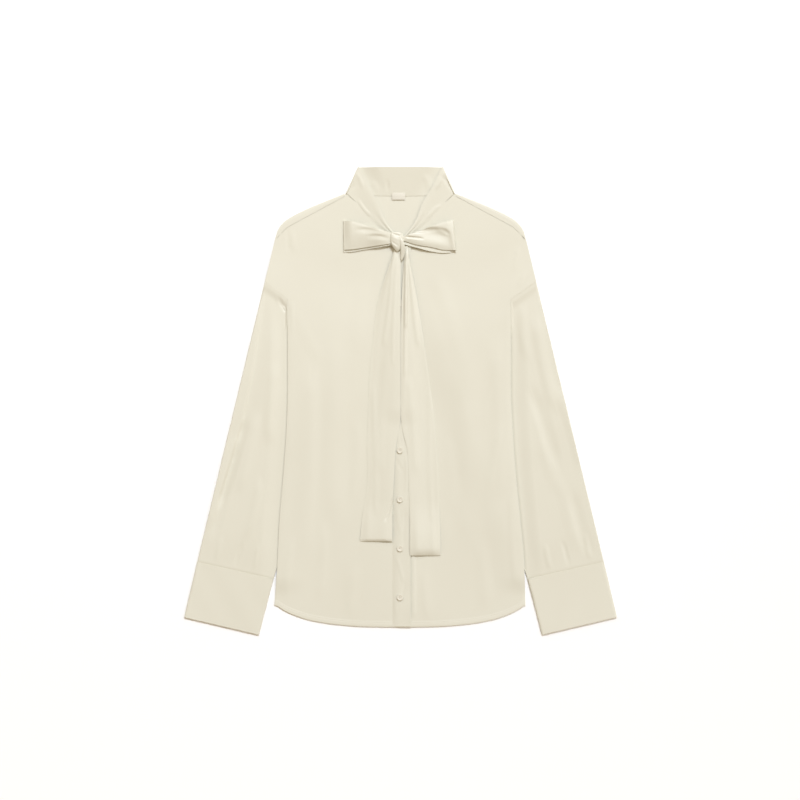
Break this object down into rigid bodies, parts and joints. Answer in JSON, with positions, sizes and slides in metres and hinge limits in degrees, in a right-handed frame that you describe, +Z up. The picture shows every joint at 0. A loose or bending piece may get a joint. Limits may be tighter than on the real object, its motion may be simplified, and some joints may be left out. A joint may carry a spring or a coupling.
{
  "type": "tie-neck blouse",
  "caption": "Long-sleeved satin blouse laid flat, with a stand collar running into a tie in a soft bow, a buttoned placket, deep cuffs and a curved hem.",
  "frame": {"origin": "on the surface the blouse lies on, under the middle of its outline", "axes": "+X to the wearer's left, +Y from the hem to the collar, +Z up from the surface; the fronts face +Z"},
  "size_m": [0.7182, 0.776, 0.0156],
  "materials": {
    "satin": "ivory satin with a soft sheen",
    "pearl": "ivory pearl gloss",
    "tag": "plain woven tape"
  },
  "bodies": {
    "root": {"back": "satin", "front_right": "satin", "front_left": "satin", "placket": "satin", "sleeve_right": "satin", "sleeve_left": "satin", "cuff_right": "satin", "cuff_left": "satin", "collar": "satin", "bow_loop_right": "satin", "bow_loop_left": "satin", "bow_knot": "satin", "tie_tail_right": "satin", "tie_tail_left": "satin", "button_1": "pearl", "button_2": "pearl", "button_3": "pearl", "button_4": "pearl", "button_5": "pearl", "button_6": "pearl", "button_7": "pearl", "button_8": "pearl", "neck_label": "tag"}
  },
  "joints": []
}
